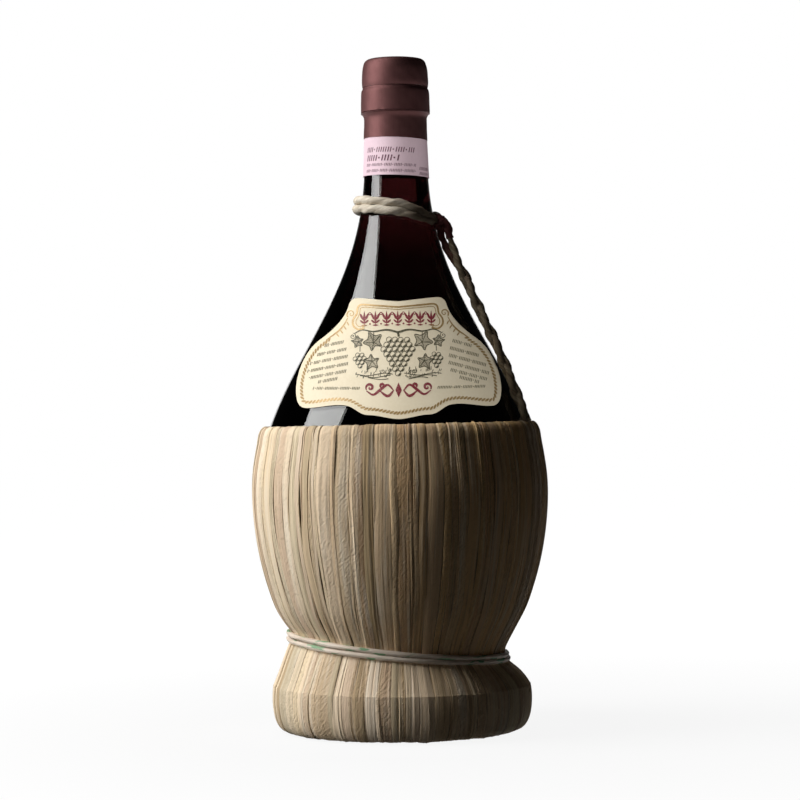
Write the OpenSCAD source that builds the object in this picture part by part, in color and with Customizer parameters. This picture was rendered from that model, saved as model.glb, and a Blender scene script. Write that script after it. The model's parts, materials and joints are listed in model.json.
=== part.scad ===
// Straw-covered round-bottomed wine flask, standing on its straw base, label towards -Y.
// Millimetres, +Z up, origin in the middle of the surface that the flask stands on.

/* [Glass flask] */
// Largest radius of the glass belly
belly_r = 64.7; // [64.3:0.1:65]
// Height of the largest girth
belly_z = 110; // [109:0.5:111]
// Height of the round bottom, which the base ring holds off the surface
bottom_z = 8; // [7.5:0.5:9]
// Height of the lip
lip_z = 307.2; // [306:0.2:308]
// Radius of the neck under the paper seal
neck_r = 14.85; // [14.6:0.05:15]
// Radius of the neck under the ring of the finish
neck_top_r = 13.85; // [13.6:0.05:14]
// Radius of the ring of the finish, below the lip
ring_r = 15.25; // [15:0.05:15.5]
// Thickness of the glass wall
wall = 2.7; // [2.5:0.1:3]
// Radius of the bore that grips the cork
bore_r = 9.45; // [9.3:0.05:9.6]
// Height of the wine, which the paper seal hides
fill_z = 257; // [254:0.5:260]

/* [Closure] */
// Length of the cork
cork_l = 40; // [38:0.5:44]
// Radial clearance of the cork in the bore
cork_clear = 0.05; // [0.02:0.01:0.1]
// Thickness of the capsule
capsule_t = 0.45; // [0.4:0.05:0.5]
// Height of the paper seal round the neck
seal_h = 17.6; // [16:0.2:18]
// Slant of the paper seal, in degrees
seal_slant = 1.8; // [0:0.1:2]
// Thickness of the label and of the seal
paper_t = 0.2; // [0.15:0.05:0.25]

/* [Straw cover] */
// Number of straw strips round the flask
strips = 56; // [48:4:60]
// Thickness of a strip
strip_t = 1.3; // [1.1:0.1:1.4]
// How far a strip's middle stands above its edges
strip_crown = 0.45; // [0.2:0.05:0.5]
// Gap between neighbouring strips, in degrees round the flask
strip_gap = 0.5; // [0.3:0.1:0.8]
// Thickness of the whole cover on the belly
cover_t = 3.3; // [3.3:0.05:3.5]
// Radius of the pinched waist
waist_r = 48.8; // [48.6:0.1:49.2]
// Height of the waist
waist_z = 38.2; // [37.8:0.2:38.6]
// Radius of the base at its widest
base_r = 59.5; // [59:0.1:60]
// How much lower the waist lies on the handle's side than on the other, halved
waist_tilt = 4.7; // [3.5:0.1:4.8]

/* [Cords] */
// Direction of the handle: degrees from +X, towards the label
handle_az = -22; // [-30:1:-15]
// Thickness of the twine round the neck
neck_cord_d = 3.8; // [3.4:0.1:4]
// Thickness of one ply of the handle
ply_d = 2.3; // [2:0.1:2.4]
// Thickness of the cord round the waist
waist_cord_d = 2.3; // [2:0.1:2.4]

/* [Hidden] */
$fn = 96;

// Lines run upwards as [radius, height], so that their outer side is on the right.
function bezier(p, n) = [for (i = [0 : n]) let (t = i / n, u = 1 - t)
    u * u * u * p[0] + 3 * t * u * u * p[1] + 3 * t * t * u * p[2] + t * t * t * p[3]];
function along(line, i) = line[min(i + 1, len(line) - 1)] - line[max(i - 1, 0)];
function outward(line, i) = let (v = along(line, i)) [v[1], -v[0]] / norm(v);
function grown(line, d) = [for (i = [0 : len(line) - 1]) line[i] + d * outward(line, i)];
function reversed(line) = [for (i = [len(line) - 1 : -1 : 0]) line[i]];
function part(line, a, b) = [for (i = [a : b]) line[i]];
function unit(v) = v / norm(v);
function polar(r, a, z) = [r * cos(a), r * sin(a), z];

// A closed shell between two offsets of a line, turned round the axis.
module skin(line, inner, outer) {
    rotate_extrude() polygon(concat(grown(line, inner), reversed(grown(line, outer))));
}

// The flask: a round bottom, an egg-shaped belly and a long flowing shoulder.
lower = bezier([[0, bottom_z], [40, bottom_z], [belly_r, 66], [belly_r, belly_z]], 12);
shoulder = bezier([[belly_r, belly_z], [belly_r, 161], [18, 191], [neck_r, 254]], 16);
finish = [[neck_top_r, lip_z - 29], [neck_top_r, lip_z - 26.2], [ring_r - 0.35, lip_z - 23.8],
    [ring_r, lip_z - 22.2], [ring_r - 0.2, lip_z - 14.8], [ring_r - 0.95, lip_z - 12.6]];
lip = [[ring_r - 0.75, lip_z - 10.6], [ring_r - 0.95, lip_z - 4.2], [ring_r - 1.95, lip_z - 1],
    [ring_r - 3.05, lip_z]];
body_line = concat(lower, part(shoulder, 1, 16));
inner_line = grown(body_line, -wall);
inner_top = [[bore_r, lip_z - cork_l - 8], [bore_r, lip_z - 1], [bore_r + 0.6, lip_z]];
neck_table = [for (p = part(shoulder, 4, 16)) [p[1], p[0]]];

module glass_flask() {
    color([0.10, 0.03, 0.03])
    rotate_extrude()
    polygon(concat(body_line, finish, lip, reversed(inner_top), reversed(part(inner_line, 1, 28)),
        [[0, bottom_z + wall]]));
}

// The wine fills the flask up to the seal, just clear of the glass.
wine_gap = 0.25;
module wine() {
    top_r = lookup(fill_z, [[254, neck_r - wall], [lip_z - cork_l - 8, bore_r]]) - wine_gap;
    color([0.25, 0.02, 0.04])
    rotate_extrude()
    polygon(concat([[0, bottom_z + wall + wine_gap]], part(grown(body_line, -wall - wine_gap), 1, 28),
        [[top_r, fill_z], [0, fill_z]]));
}

module cork() {
    edge = 0.6;
    r = bore_r - cork_clear;
    color([0.76, 0.60, 0.42])
    translate([0, 0, lip_z - cork_l])
    rotate_extrude()
    polygon([[0, 0], [r - edge, 0], [r, edge], [r, cork_l - edge], [r - edge, cork_l], [0, cork_l]]);
}

// The capsule parts at the groove under the lip, where it is cut to open the bottle.
top_line = [[ring_r - 0.15, lip_z - 11.9], [ring_r + 0.05, lip_z - 10.2], [ring_r, lip_z - 7.4],
    [ring_r - 0.25, lip_z - 3.8], [ring_r - 0.85, lip_z - 1.2], [ring_r - 1.35, lip_z],
    [ring_r - 2.25, lip_z + 0.75], [ring_r - 3.75, lip_z + 1], [0, lip_z + 1]];
module capsule_top() {
    color([0.30, 0.13, 0.14])
    rotate_extrude()
    polygon(concat(top_line, reversed(grown(top_line, -capsule_t))));
}

sleeve_line = concat([[neck_top_r + 0.2, lip_z - 35.1]], part(finish, 0, 4), [[ring_r - 0.8, lip_z - 13]]);
module capsule_sleeve() {
    color([0.30, 0.13, 0.14])
    skin(sleeve_line, 0.2, 0.2 + capsule_t);
}

// The seal is a strip of paper that goes once round the neck, a little askew.
module neck_seal() {
    seal_z = lip_z - 35.7 - seal_h / 2;
    neck_line = [[neck_r + 0.15, 250.4], [neck_r, 254], [neck_top_r + 0.2, lip_z - 34.2]];
    color([0.90, 0.80, 0.83])
    intersection() {
        skin(neck_line, 0.15, 0.15 + paper_t);
        translate([0, 0, seal_z]) rotate([0, seal_slant, 0]) cube([60, 60, seal_h], center = true);
    }
}

// Right half of the label's outline, from the middle of its top edge to the middle of its foot.
label_half = concat(
    [[0, 195.5], [17.7, 197.5], [20.2, 196.6]],
    bezier([[21.9, 194.8], [23.5, 188], [30, 182.5], [36.5, 178.3]], 6),
    part(bezier([[36.5, 178.3], [42, 174], [46, 166], [46.2, 157.3]], 6), 1, 6),
    part(bezier([[46.2, 157.3], [46.3, 151], [44.5, 148.2], [41.1, 148.2]], 4), 1, 4),
    part(bezier([[41.1, 148.2], [35, 148], [28, 150.4], [22, 148.7]], 5), 1, 5),
    part(bezier([[22, 148.7], [19, 147.6], [17, 144.7], [13.5, 144.7]], 4), 1, 4),
    [[9.5, 144.7]],
    part(bezier([[9.5, 144.7], [6, 144.6], [4, 142.8], [0, 142.8]], 4), 1, 4));
label_outline = concat(label_half, [for (p = reversed(part(label_half, 1, len(label_half) - 2))) [-p[0], p[1]]]);
module front_label() {
    color([0.95, 0.92, 0.84])
    intersection() {
        skin(part(shoulder, 2, 10), 0.15, 0.15 + paper_t);
        rotate([90, 0, 0]) linear_extrude(belly_r) polygon(label_outline);
    }
}

// A tube of so many sides swept along points; side is a direction that no stretch of it runs in.
module tube(points, d, sides, side) {
    n = len(points);
    dirs = [for (i = [0 : n - 1]) unit(points[min(i + 1, n - 1)] - points[max(i - 1, 0)])];
    rings = [for (i = [0 : n - 1]) let (u = unit(cross(dirs[i], side)), v = cross(dirs[i], u))
        for (k = [0 : sides - 1]) points[i] + d / 2 * (cos(360 * k / sides) * u + sin(360 * k / sides) * v)];
    walls = [for (i = [0 : n - 2], k = [0 : sides - 1]) let (a = i * sides + k, b = i * sides + (k + 1) % sides)
        each [[a, a + sides, b + sides], [a, b + sides, b]]];
    ends = [for (k = [1 : sides - 2]) each [[0, k, k + 1],
        [(n - 1) * sides, (n - 1) * sides + k + 1, (n - 1) * sides + k]]];
    polyhedron(rings, concat(walls, ends));
}

// A winding goes round from share a to share b of its turns, 24 rings a turn.
function shares(a, b) = let (n = round(24 * (b - a))) [for (i = [0 : n]) a + (b - a) * i / n];
// Its ends run straight on for one thickness, into the knot.
function with_ends(p, d) = let (n = len(p)) concat([p[0] + d * unit(p[0] - p[1])], p,
    [p[n - 1] + d * unit(p[n - 1] - p[n - 2])]);
function least_gap(p, d) = min([for (i = [0 : len(p) - 13], j = [i + 12 : len(p) - 1]) norm(p[i] - p[j])]) - d;

// Two turns of twine round the neck, lower on the handle's side.
neck_cord_z = 238;
neck_cord_drop = 3.3;
neck_cord_pitch = 4.4;
neck_turns = [for (t = shares(1 / 24, 47 / 24)) let (
    z = neck_cord_z - neck_cord_drop * cos(360 * t) + neck_cord_pitch * (1 - t),
    r = lookup(z, neck_table) + neck_cord_d / 2 + 0.4) polar(r, handle_az + 360 * t, z)];
echo(neck_cord_least_gap = least_gap(neck_turns, neck_cord_d));
module neck_cord() {
    color([0.84, 0.77, 0.63])
    tube(with_ends(neck_turns, neck_cord_d), neck_cord_d, 6, [0, 0, 1]);
}

// Places in the handle's upright plane are [out from the axis, height].
module handle_plane() {
    rotate([0, 0, handle_az]) children();
}

// The knot that gathers the twine: a sloping lump, wound tight.
knot_places = [[20.5, 234.4, 2.4], [23.4, 232.4, 3.4], [25.6, 230.8, 3.2], [27.6, 228, 2.4]];
module handle_knot() {
    color([0.45, 0.30, 0.18])
    handle_plane()
    hull() for (p = knot_places) translate([p[0], 0, p[1]]) sphere(p[2], $fn = 20);
}

// Two plies leave the knot apart and come together as the rope.
inner_ply = [[22.6, 228.4], [24, 223.6], [26.4, 218.8], [28.2, 216.4]];
outer_ply = [[26.9, 228], [28.6, 224], [30, 220.4], [30.8, 217.4]];
module handle_strands() {
    color([0.84, 0.77, 0.63])
    handle_plane() {
        tube([for (p = inner_ply) [p[0], 0, p[1]]], ply_d, 8, [0, 1, 0]);
        tube([for (p = outer_ply) [p[0], 0, p[1]]], ply_d, 8, [0, 1, 0]);
    }
}

// The rope bows out from the shoulder and stands on the rolled rim of the straw.
rope_route = [[29.8, 215], [33.8, 207], [37.7, 198], [41.9, 189], [46.3, 180], [50.6, 171], [54.5, 162],
    [57.9, 153], [60.5, 146], [61.9, 141.8]];
module handle_rope() {
    color([0.84, 0.77, 0.63])
    handle_plane()
    tube([for (p = rope_route) [p[0], 0, p[1]]], 2 * ply_d, 8, [0, 1, 0]);
}

// The straw's outer face, upwards: [radius, height, share of the waist's tilt].
skirt = [[51.5, 0.5, 0], [54.2, 0.7, 0], [base_r - 2.6, 3.4, 0], [base_r - 0.6, 8.4, 0], [base_r, 14.5, 0],
    [base_r - 0.6, 20, 0], [base_r - 2.8, 25.4, 0.15], [52.4, 31, 0.6], [waist_r, waist_z - 3.4, 1],
    [waist_r + 0.2, waist_z + 1.4, 1], [51.9, 45.6, 0.6]];
belly = concat(part(lower, 7, 12), part(shoulder, 1, 2));
belly_face = grown(belly, cover_t);
rim = [[65.2, 133.6, 0], [64.2, 137.2, 0], [62.8, 139.8, 0], [61, 140.7, 0]];
straw = concat(skirt, [for (i = [0 : len(belly) - 1]) [belly_face[i][0], belly_face[i][1], i == 0 ? 0.3 : 0]],
    rim);
flat_straw = [for (p = straw) [p[0], p[1]]];

// Strips vary in width; each keeps its angle, so they crowd at the waist and spread on the belly.
function strip_share(i) = 1 + 0.28 * sin(97 * i) + 0.14 * sin(41 * i);
cuts = [for (i = 0, a = 0; i <= strips; a = a + strip_share(i), i = i + 1) a];
function cut_angle(i) = 225 + 360 * cuts[i] / cuts[strips];

// The waist lies lower and further in on the handle's side, and sags a little at the front and the back.
waist_out = 1.75;
waist_sag = 0.9;
function waist_move(a) = [-waist_out * cos(a), waist_sag * cos(a) * cos(a) - waist_tilt * cos(a)];

module strip(i) {
    a0 = cut_angle(i) + strip_gap / 2;
    a2 = cut_angle(i + 1) - strip_gap / 2;
    a1 = (a0 + a2) / 2;
    last = len(straw) - 1;
    points = [for (k = [0 : last]) let (
        face = flat_straw[k] + straw[k][2] * waist_move(a1),
        out = outward(flat_straw, k),
        back = face - strip_t * out,
        crown = face + strip_crown * out)
        each [polar(face[0], a0, face[1]), polar(crown[0], a1, crown[1]), polar(face[0], a2, face[1]),
            polar(back[0], a2, back[1]), polar(back[0], a0, back[1])]];
    sides = [for (k = [0 : last - 1], j = [0 : 4]) let (a = 5 * k + j, b = 5 * k + (j + 1) % 5)
        each [[a, a + 5, b + 5], [a, b + 5, b]]];
    ends = [for (j = [1 : 3]) each [[0, j, j + 1], [5 * last, 5 * last + j + 1, 5 * last + j]]];
    polyhedron(points, concat(sides, ends));
}

straw_colors = [[0.90, 0.83, 0.70], [0.80, 0.72, 0.56], [0.77, 0.66, 0.53], [0.62, 0.58, 0.44]];
module strip_quarter(q) {
    for (i = [q * strips / 4 : (q + 1) * strips / 4 - 1]) color(straw_colors[(i * 7) % 4]) strip(i);
}
module straw_front() {
    strip_quarter(0);
}
module straw_right() {
    strip_quarter(1);
}
module straw_back() {
    strip_quarter(2);
}
module straw_left() {
    strip_quarter(3);
}

// The layer of straw laid on the glass first, under the strips.
module straw_underlay() {
    color([0.55, 0.42, 0.24])
    skin(belly, 0.6, cover_t - strip_t - 0.35);
}

// The hoop that the strips are folded over at the rim.
module rim_hoop() {
    color([0.66, 0.55, 0.36])
    rotate_extrude() translate([61.55, 136.75]) circle(0.75);
}

// Two turns of cord draw the straw in under the belly, tied at the back.
waist_turns = [for (t = shares(1 / 24, 47 / 24)) let (
    a = 90 + 360 * t,
    r = waist_r + waist_move(a)[0] + strip_crown + waist_cord_d / 2 + 0.45 + 0.3 * (1 - t))
    polar(r, a, waist_z - 0.2 + waist_move(a)[1] + 2.75 * (1 - t))];
echo(waist_cord_least_gap = least_gap(waist_turns, waist_cord_d));
module waist_cord() {
    color([0.90, 0.82, 0.72])
    tube(with_ends(waist_turns, waist_cord_d), waist_cord_d, 6, [0, 0, 1]);
}
module waist_knot() {
    r = 1.9;
    h = 7;
    half = [for (a = [-90 : 15 : 90]) [r * cos(a), r * sin(a) + (a > 0 ? h / 2 - r : r - h / 2)]];
    color([0.86, 0.77, 0.66])
    translate([0, waist_r + strip_crown + 2.6, waist_z - 0.2])
    rotate_extrude()
    polygon(concat([[0, -h / 2]], part(half, 1, len(half) - 2), [[0, h / 2]]));
}

// The bottle stands on a ring of bundled straw, dished to hold the round bottom.
module base_ring() {
    dish = reversed(part(grown(lower, 0.6), 3, 4));
    color([0.70, 0.58, 0.38])
    rotate_extrude()
    polygon(concat([[27.6, 0], [48.6, 0], [52.6, 3.4], [base_r - 3.4, 7.8], [base_r - 2.3, 14.5],
        [base_r - 3.3, 19.8], [base_r - 6.3, 24.6], [49, 27.8], [44.5, 29.4], [40, 29.9]], dish));
}

glass_flask();
wine();
cork();
capsule_top();
capsule_sleeve();
neck_seal();
front_label();
neck_cord();
handle_knot();
handle_strands();
handle_rope();
rim_hoop();
straw_underlay();
straw_front();
straw_right();
straw_back();
straw_left();
waist_cord();
waist_knot();
base_ring();
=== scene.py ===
"""Looks of a straw-covered wine flask: glass, wine, straw cover, cords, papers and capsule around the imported
part. Lengths are written in millimetres and turned into metres where a mesh is made.
"""

import json
import random
from math import atan, atan2, cos, degrees, exp, hypot, pi, radians, sin, sqrt, tan

import bmesh
import bpy
import numpy as np
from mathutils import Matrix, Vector

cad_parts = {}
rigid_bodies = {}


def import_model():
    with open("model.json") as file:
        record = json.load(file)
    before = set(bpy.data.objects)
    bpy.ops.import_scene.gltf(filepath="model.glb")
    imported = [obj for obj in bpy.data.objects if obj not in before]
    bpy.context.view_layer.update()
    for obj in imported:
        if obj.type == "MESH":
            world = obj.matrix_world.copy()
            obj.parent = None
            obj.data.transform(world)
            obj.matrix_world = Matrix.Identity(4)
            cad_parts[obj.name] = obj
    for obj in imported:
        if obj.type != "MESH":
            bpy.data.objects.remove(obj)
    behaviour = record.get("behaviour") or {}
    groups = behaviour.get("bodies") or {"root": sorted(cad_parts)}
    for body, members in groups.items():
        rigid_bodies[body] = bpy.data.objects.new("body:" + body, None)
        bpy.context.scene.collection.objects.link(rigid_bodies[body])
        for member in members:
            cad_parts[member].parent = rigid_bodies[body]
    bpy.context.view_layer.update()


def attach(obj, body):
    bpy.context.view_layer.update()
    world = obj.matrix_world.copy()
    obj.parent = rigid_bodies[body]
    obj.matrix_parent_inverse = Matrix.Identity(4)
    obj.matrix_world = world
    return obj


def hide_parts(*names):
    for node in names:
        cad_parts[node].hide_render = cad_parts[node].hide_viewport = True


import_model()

MM = 0.001
TAU = 2 * pi

# Sizes that the solids have too
BELLY_R, BELLY_Z = 64.7, 110.0
BOTTOM_Z = 8.0
LIP_Z = 307.2
NECK_R, NECK_TOP_R = 14.85, 13.85
RING_R = 15.25
WALL = 2.7
BORE_R = 9.45
CORK_L, CORK_CLEAR = 40.0, 0.05
FILL_Z = 257.0
CAPSULE_T = 0.45
SEAL_H, SEAL_SLANT = 17.6, 1.8
COVER_T = 3.3
WAIST_R, WAIST_Z = 48.8, 38.2
WAIST_TILT, WAIST_OUT, WAIST_SAG = 4.7, 1.75, 0.9
HANDLE_AZ = radians(-22)
NECK_CORD_D, PLY_D, WAIST_CORD_D = 3.8, 2.3, 2.3


# Camera

PHOTO_PX = 800
FOCAL_PX = 2560
MM_PER_PX = 0.46
HORIZON_ROW, GROUND_ROW, AXIS_COLUMN = 420, 729.5, 399.0
ROLL = atan(0.0119)

camera_data = bpy.data.cameras.new("camera")
camera_data.sensor_width = 36
camera_data.lens = FOCAL_PX / PHOTO_PX * camera_data.sensor_width
camera = bpy.data.objects.new("camera", camera_data)
bpy.context.scene.collection.objects.link(camera)
camera.location = MM * MM_PER_PX * Vector((PHOTO_PX / 2 - AXIS_COLUMN, -FOCAL_PX, GROUND_ROW - HORIZON_ROW))
camera.rotation_euler = (pi / 2 + atan((HORIZON_ROW - PHOTO_PX / 2) / FOCAL_PX), ROLL, 0)
bpy.context.scene.camera = camera
bpy.context.scene.view_settings.view_transform = "Standard"


# Lines, in millimetres: [radius, height] for turned pieces, [x, height] for flat prints

def bezier(p, n):
    """Points of a cubic curve, both ends included."""
    t = np.linspace(0, 1, n + 1)[:, None]
    p = np.array(p, float)
    return (1 - t) ** 3 * p[0] + 3 * t * (1 - t) ** 2 * p[1] + 3 * t * t * (1 - t) * p[2] + t**3 * p[3]


def through(points, n):
    """A smooth line through points, n steps between each two."""
    p = np.array(points, float)
    p = np.vstack([2 * p[0] - p[1], p, 2 * p[-1] - p[-2]])
    out = []
    for i in range(1, len(p) - 2):
        for t in np.linspace(0, 1, n, endpoint=False):
            a, b, c, d = p[i - 1 : i + 3]
            out.append(0.5 * (2 * b + (c - a) * t + (2 * a - 5 * b + 4 * c - d) * t**2
                              + (3 * b - a - 3 * c + d) * t**3))
    return np.array(out + [p[-2]])


def distances(p):
    """How far along a line each of its points lies."""
    return np.concatenate([[0], np.cumsum(np.linalg.norm(np.diff(p, axis=0), axis=1))])


def spaced(points, step):
    """The same line with points a step apart."""
    p = np.array(points, float)
    far = distances(p)
    n = max(2, int(round(far[-1] / step)) + 1)
    at = np.linspace(0, far[-1], n)
    return np.stack([np.interp(at, far, p[:, k]) for k in range(p.shape[1])], 1)


def directions(line):
    v = np.gradient(line, axis=0)
    return v / np.maximum(np.linalg.norm(v, axis=1), 1e-9)[:, None]


def grown(line, d):
    """The line moved outwards by d; lines run upwards."""
    v = directions(line)
    return line + d * np.stack([v[:, 1], -v[:, 0]], 1)


LOWER = bezier([[0, BOTTOM_Z], [40, BOTTOM_Z], [BELLY_R, 66], [BELLY_R, BELLY_Z]], 60)
SHOULDER = bezier([[BELLY_R, BELLY_Z], [BELLY_R, 161], [18, 191], [NECK_R, 254]], 80)
GLASS = np.vstack([LOWER, SHOULDER[1:]])


def glass_r(z):
    return float(np.interp(z, GLASS[:, 1], GLASS[:, 0]))


def turned(r, a, z):
    """A point at a radius, an angle and a height."""
    return (r * cos(a), r * sin(a), z)


# Meshes

def mesh_object(name, verts, faces, material, smooth=True, sharp_deg=None, **attributes):
    """A mesh from points in millimetres. Its attributes, grain and tone, are read by the materials."""
    mesh = bpy.data.meshes.new(name)
    mesh.from_pydata([Vector(v) * MM for v in verts], [], [tuple(f) for f in faces])
    for key, values in attributes.items():
        layer = mesh.attributes.new(key, "FLOAT_VECTOR", "POINT")
        layer.data.foreach_set("vector", np.asarray(values, np.float32).ravel())
    mesh.polygons.foreach_set("use_smooth", [smooth] * len(mesh.polygons))
    if sharp_deg is not None:
        mesh.set_sharp_from_angle(angle=radians(sharp_deg))
    mesh.materials.append(material)
    obj = bpy.data.objects.new(name, mesh)
    bpy.context.scene.collection.objects.link(obj)
    return obj


def tube_faces(rings, sides, base=0):
    """Faces of a closed tube with so many rings of points, and its two ends."""
    faces = []
    for i in range(base, base + (rings - 1) * sides, sides):
        for k in range(sides):
            a, b = i + k, i + (k + 1) % sides
            faces.append((a, b, b + sides, a + sides))
    last = base + (rings - 1) * sides
    return faces + [tuple(range(base + sides - 1, base - 1, -1)), tuple(range(last, last + sides))]


def lathe(name, line, material, around=144, sharp_deg=35, wobble=None, closed=False):
    """A turned solid from a line of [radius, height]. It starts and ends on the axis, or is a closed loop."""
    line = np.array(line, float)
    verts, faces, rows = [], [], []
    for r, z in line:
        if r < 1e-6:
            rows.append([len(verts)])
            verts.append((0, 0, z))
            continue
        rows.append(list(range(len(verts), len(verts) + around)))
        for i in range(around):
            a = TAU * i / around
            dr, dz = wobble(a, r, z) if wobble else (0, 0)
            verts.append(turned(r + dr, a, z + dz))
    for low, high in list(zip(rows, rows[1:])) + ([(rows[-1], rows[0])] if closed else []):
        for i in range(around):
            corners = [row[k % len(row)] for row, k in ((low, i), (low, i + 1), (high, i + 1), (high, i))]
            face = tuple(dict.fromkeys(corners))
            if len(face) > 2:
                faces.append(face)
    grain = [(atan2(y, x) * hypot(x, y), z, 0) for x, y, z in verts]
    return mesh_object(name, verts, faces, material, sharp_deg=sharp_deg, grain=grain)


def sweep(points, radius, sides=14, up=(0, 0, 1), twist=0.0, lobes=(), rough=0.0, seed=0, taper=None):
    """Points, faces and grain of a twisted cord. lobes are (count, share of the radius) of its section, which
    turns by twist radians for each millimetre. taper gives the thickness at a distance along the cord."""
    rng = random.Random(seed)
    phase = [rng.uniform(0, TAU) for _ in range(6)]
    p = np.array(points, float)
    d = directions(p)
    far = distances(p)
    verts, grain = [], []
    for i in range(len(p)):
        u = np.cross(d[i], up)
        u /= np.linalg.norm(u)
        v = np.cross(u, d[i])
        size = taper(far[i], far[-1]) if taper else 1.0
        for k in range(sides):
            a = TAU * k / sides
            b = a - twist * far[i]
            r = 1 + sum(share * cos(count * b + phase[0]) for count, share in lobes)
            r += rough * sin(3 * b + far[i] * 0.9 + phase[1])
            r += rough * sin(5 * b - far[i] * 0.53 + phase[2])
            r += rough * sin(far[i] * 0.37 + phase[3]) * 0.7
            verts.append(p[i] + radius * r * size * (cos(a) * u + sin(a) * v))
            grain.append((b * radius, far[i], seed))
    return verts, tube_faces(len(p), sides), grain


def joined(parts):
    """One list of points, faces and grain from several."""
    verts, faces, grain = [], [], []
    for part in parts:
        base = len(verts)
        verts += list(part[0])
        faces += [tuple(i + base for i in f) for f in part[1]]
        grain += list(part[2]) if len(part) > 2 else []
    return verts, faces, grain


def cord_object(name, parts, material, **attributes):
    verts, faces, grain = joined(parts)
    return mesh_object(name, verts, faces, material, grain=grain, sharp_deg=60, **attributes)


def place(obj, slot, *nodes, body="bottle"):
    """The piece rides on a body and stands for the nodes, which it hides. slot is not used."""
    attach(obj, body)
    if nodes:
        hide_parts(*nodes)


# Materials

class Nodes:
    """A small helper round the nodes of a material or of the world."""

    def __init__(self, tree):
        self.nodes, self.links = tree.nodes, tree.links

    def fill(self, node, inputs):
        """Each input takes a number, a colour or the output of another node."""
        for key, value in inputs.items():
            socket = node.inputs[key]
            if hasattr(value, "is_output"):
                self.links.new(value, socket)
            else:
                socket.default_value = (*value, 1) if socket.type == "RGBA" else value

    def add(self, kind, inputs=None, **values):
        node = self.nodes.new(kind)
        for key, value in values.items():
            setattr(node, key, value)
        self.fill(node, inputs or {})
        return node

    def coords(self, kind="Object"):
        return self.add("ShaderNodeTexCoord").outputs[kind]

    def attribute(self, name):
        return self.add("ShaderNodeAttribute", attribute_name=name).outputs["Vector"]

    def split(self, vector):
        node = self.add("ShaderNodeSeparateXYZ", {"Vector": vector})
        return [node.outputs[key] for key in "XYZ"]

    def noise(self, vector, scale, stretch=(1, 1, 1), detail=4, roughness=0.55, turn=0):
        """Noise in a stretched space, turned by so many degrees about its third axis before the stretch."""
        if turn:
            vector = self.add("ShaderNodeVectorRotate", {"Vector": vector, "Angle": radians(turn)},
                              rotation_type="Z_AXIS").outputs["Vector"]
        stretched = self.add("ShaderNodeMapping", {"Vector": vector, "Scale": stretch}).outputs["Vector"]
        return self.add("ShaderNodeTexNoise", {"Vector": stretched, "Scale": scale, "Detail": detail,
                                               "Roughness": roughness}).outputs["Fac"]

    def ramp(self, value, stops):
        node = self.add("ShaderNodeValToRGB", {"Fac": value})
        band = node.color_ramp.elements
        while len(band) < len(stops):
            band.new(0.5)
        for element, (position, color) in zip(band, stops):
            element.position = position
            element.color = (*color, 1)
        return node.outputs["Color"]

    def fade(self, value, start, end, least=0.0, most=1.0, amount=None):
        """From least at start to most at end, where end may be the lower, all times an amount."""
        share = self.ramp(value, sorted([(start, (least,) * 3), (end, (most,) * 3)]))
        return share if amount is None else self.times(share, amount)

    def between(self, value, low, high, start=0.0, end=1.0):
        """From start at the low value to end at the high one."""
        inputs = {"Value": value, "From Min": low, "From Max": high, "To Min": start, "To Max": end}
        return self.add("ShaderNodeMapRange", inputs).outputs["Result"]

    def mix(self, a, b, share, blend="MIX"):
        inputs = {0: share, 6: a, 7: b}
        return self.add("ShaderNodeMix", inputs, data_type="RGBA", blend_type=blend).outputs[2]

    def math(self, operation, a, b=0.5, clamp=False):
        return self.add("ShaderNodeMath", {0: a, 1: b}, operation=operation, use_clamp=clamp).outputs[0]

    def times(self, a, b, clamp=False):
        return self.math("MULTIPLY", a, b, clamp)

    def background_rays(self):
        """1 for the camera's own rays, and 1 for them and those in mirrors and glass."""
        path = self.add("ShaderNodeLightPath").outputs
        seen = self.math("MAXIMUM", path["Is Camera Ray"], path["Is Glossy Ray"])
        return path["Is Camera Ray"], self.math("MAXIMUM", seen, path["Is Transmission Ray"])


class Shader(Nodes):
    """A material whose inputs are set by name."""

    def __init__(self, name, **inputs):
        self.material = bpy.data.materials.new(name)
        self.material.use_nodes = True
        super().__init__(self.material.node_tree)
        self.set(**inputs)

    def set(self, **inputs):
        named = {key.replace("_", " "): value for key, value in inputs.items()}
        self.fill(self.nodes["Principled BSDF"], named)

    def finish(self, color, unevenness, rough, height=None, bump=0.0, depth=0.0):
        """Colour, a roughness from its first to its second number, and a bump of so many millimetres."""
        self.set(Base_Color=color, Roughness=self.between(unevenness, 0, 1, *rough))
        if height is not None:
            node = self.add("ShaderNodeBump", {"Strength": bump, "Distance": depth * MM, "Height": height})
            self.set(Normal=node.outputs["Normal"])
        return self.material


def wine_material():
    """Red wine: black in the belly, dark red where the neck is thin and the background shines through."""
    s = Shader("wine", Roughness=0.0, IOR=1.34, Transmission_Weight=1.0, Specular_IOR_Level=0.0)
    height = s.between(s.split(s.coords())[2], 0.185, 0.245)
    s.set(Base_Color=s.ramp(height, [(0, (0.0005, 0.0001, 0.0001)), (0.5, (0.004, 0.0006, 0.0008)),
                                     (1, (0.024, 0.0034, 0.0042))]))
    return s.material


STRAW_HUES = [
    (0.00, (0.90, 0.73, 0.52)), (0.12, (0.73, 0.55, 0.36)), (0.24, (0.93, 0.78, 0.59)),
    (0.36, (0.66, 0.48, 0.33)), (0.46, (0.88, 0.71, 0.51)), (0.56, (0.70, 0.60, 0.42)),
    (0.66, (0.90, 0.73, 0.50)), (0.76, (0.58, 0.43, 0.27)), (0.88, (0.92, 0.76, 0.56)),
    (1.00, (0.76, 0.63, 0.43))]


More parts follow.
